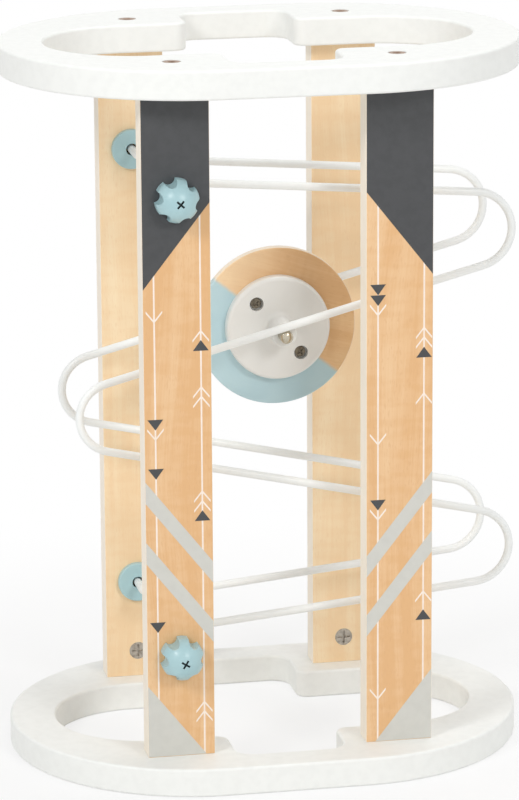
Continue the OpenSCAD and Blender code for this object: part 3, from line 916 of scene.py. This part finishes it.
def print_meshes(lean, dark_z, stripes_z, wedge_z, lines):
    """The three inks of one plank, about x = 0 and y = 0."""
    inks = {name: bmesh.new() for name in ink_lifts}
    left, right = -face_half, face_half
    dark_edge = [(side, slant_at(-lean, dark_z * mm, side)) for side in (left, right)]
    ink_patch(inks["dark"], dark_edge + [(right, head_z), (left, head_z)], ink_lifts["dark"])
    for middle in stripes_z:
        low = [(side, slant_at(lean, middle * mm, side) - stripe_height / 2) for side in (left, right)]
        high = [(side, height + stripe_height) for side, height in reversed(low)]
        ink_patch(inks["grey"], low + high, ink_lifts["grey"])
    tall_side = lean * face_half
    tip = (foot_z - wedge_z * mm) / (lean * slant)
    wedge = [(tip, foot_z), (tall_side, foot_z), (tall_side, slant_at(lean, wedge_z * mm, tall_side))]
    ink_patch(inks["grey"], wedge, ink_lifts["grey"])
    for side, marks in lines.items():
        middle = side * mm
        edges = (middle - line_width / 2, middle + line_width / 2)
        line = [(edges[0], foot_z), (edges[1], foot_z), (edges[1], line_top), (edges[0], line_top)]
        ink_patch(inks["white"], line, ink_lifts["white"])
        for way, kind, tip_z in marks:
            tip_z = tip_z * mm
            if kind == "arrow":
                tail = tip_z - way * arrow_height
                arrow = [(middle - arrow_half, tail), (middle + arrow_half, tail), (middle, tip_z)]
                ink_patch(inks["dark"], arrow, ink_lifts["dark"])
                continue
            tail = tip_z - way * chevron_height
            ends = [(middle - chevron_half, tail), (middle, tip_z), (middle + chevron_half, tail)]
            inner = [(place, height - way * stroke) for place, height in reversed(ends)]
            ink_patch(inks["white"], ends + inner, mark_lift)
    for bm in inks.values():
        bmesh.ops.recalc_face_normals(bm, faces=bm.faces)
    return inks


ink_finishes = {"white": ink_white, "dark": ink_dark, "grey": ink_grey}
for hand, plank in prints.items():
    for side in ("front", "rear"):
        centre = post_centres[f"post_front_{hand}"]
        face_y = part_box(f"post_front_{hand}")[0].y
        for ink, bm in print_meshes(**plank).items():
            if (ink, hand) == ("dark", "left"):
                bm = carve(bm, drill(bore_radius, bore_depth, facing_front(0, 0, upper_end_z)))
            bmesh.ops.translate(bm, vec=(centre.x, face_y, 0), verts=bm.verts)
            if side == "rear":
                mirrored_to_rear(bm)
            piece(f"print_{ink}_{side}_{hand}", bm, [ink_finishes[ink]], "tower", "printed_ply")

# %% [markdown]
# The tower stands on a plain pale floor in soft studio light. The floor and the world look white to the
# camera and in reflections, but light the tower at a plain level. Part of the floor's look stays diffuse near
# the tower, so that its soft shadow is kept. Two soft lamps stand to the left and right of the camera, which
# gives each knob its two highlights, and a third hangs above.


# %% Stage and light
def seen_directly(tree):
    """1 for rays from the camera, from a reflection or through glass, and 0 for those that carry light."""
    rays = add(tree, "LightPath").outputs
    seen = maths(tree, "MAXIMUM", rays["Is Camera Ray"], rays["Is Glossy Ray"])
    return maths(tree, "MAXIMUM", seen, rays["Is Transmission Ray"])


floor_size = 8.0
floor_drop = 0.05 * mm
shadow_start, shadow_reach, shadow_share = 0.15, 0.45, 0.3
fill_level = 0.52
bm = bmesh.new()
bmesh.ops.create_grid(bm, x_segments=2, y_segments=2, size=floor_size / 2)
bmesh.ops.translate(bm, vec=(0, 0, -floor_drop), verts=bm.verts)
floor_mesh = bpy.data.meshes.new("floor")
bm.to_mesh(floor_mesh)
bm.free()
floor = bpy.data.objects.new("floor", floor_mesh)
bpy.context.scene.collection.objects.link(floor)

floor_finish, tree, shader, place = new_finish("floor_finish")
shader.inputs["Roughness"].default_value = 0.9
shader.inputs["Specular IOR Level"].default_value = 0.0
paper = noise(tree, place, 30, 3.0)
tree.links.new(blend(tree, paper, rgb(244, 244, 243), rgb(241, 241, 240)), shader.inputs["Base Color"])
distance = add(tree, "VectorMath", {0: place}, operation="LENGTH").outputs["Value"]
white_share = remap(tree, distance, shadow_start, shadow_reach, 1 - shadow_share, 1.0)
white_part = maths(tree, "MULTIPLY", seen_directly(tree), white_share)
glow = add(tree, "Emission", {"Strength": 1.0})
look = add(tree, "MixShader", {0: white_part, 1: shader.outputs[0], 2: glow.outputs[0]})
tree.links.new(look.outputs[0], tree.nodes["Material Output"].inputs["Surface"])
floor_mesh.materials.append(floor_finish)

world = bpy.data.worlds.new("studio")
bpy.context.scene.world = world
world.use_nodes = True
tree = world.node_tree
backdrop = tree.nodes["Background"].inputs
backdrop["Color"].default_value = (1, 1, 1, 1)
tree.links.new(remap(tree, seen_directly(tree), 0.0, 1.0, fill_level, 1.0), backdrop["Strength"])

lamps = {"left_light": ((-1.84, -1.54, 1.88), 0.6, 24), "right_light": ((0.86, -2.24, 1.59), 0.6, 16),
         "top_light": ((0.5, 0.3, 2.4), 1.0, 12.5)}
aim = Vector((0, 0, 0.2))
for name, (lamp_place, width, power) in lamps.items():
    lamp = bpy.data.objects.new(name, bpy.data.lights.new(name, "AREA"))
    bpy.context.scene.collection.objects.link(lamp)
    lamp.data.size = width
    lamp.data.energy = power
    lamp.location = lamp_place
    lamp.rotation_euler = (Vector(lamp_place) - aim).to_track_quat("Z", "Y").to_euler()
bpy.context.scene.view_settings.view_transform = "Standard"
print("lamps", list(lamps))
